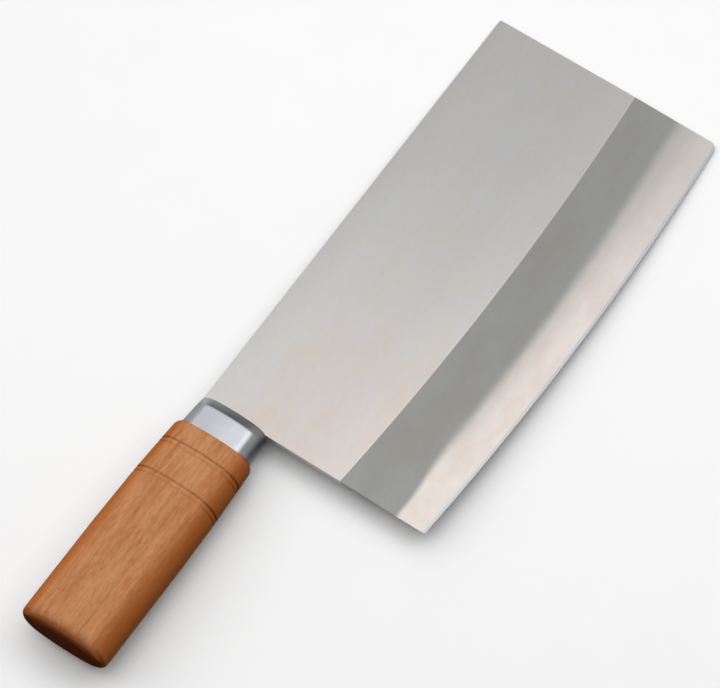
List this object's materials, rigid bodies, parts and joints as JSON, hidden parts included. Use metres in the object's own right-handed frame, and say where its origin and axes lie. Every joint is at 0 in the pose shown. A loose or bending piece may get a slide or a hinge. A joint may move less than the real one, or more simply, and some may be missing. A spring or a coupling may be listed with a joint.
{
  "type": "chinese cleaver",
  "caption": "Broad rectangular kitchen cleaver: layered steel blade with a gently curved edge, bright steel ferrule and grooved oval wooden handle.",
  "frame": {"origin": "centre of the object's box at its lowest level, which is the handle's lowest line as the cleaver lies on its side", "axes": "+X from the butt of the handle to the front of the blade, +Y from the cutting edge to the spine, +Z square to the blade's flat cheek"},
  "size_m": [0.34, 0.1178, 0.0248],
  "materials": {
    "core_steel": "fine lengthwise grind, bright",
    "cladding_steel": "satin, fine lengthwise grind",
    "tang_steel": "plain, dull",
    "ferrule_steel": "drawn and polished",
    "handle_wood": "oiled, straight grain",
    "bedding_resin": "dull"
  },
  "bodies": {
    "root": {"blade_core": "core_steel", "cladding_upper": "cladding_steel", "cladding_lower": "cladding_steel", "tang": "tang_steel", "ferrule": "ferrule_steel", "handle": "handle_wood", "tang_bedding": "bedding_resin"}
  },
  "joints": []
}
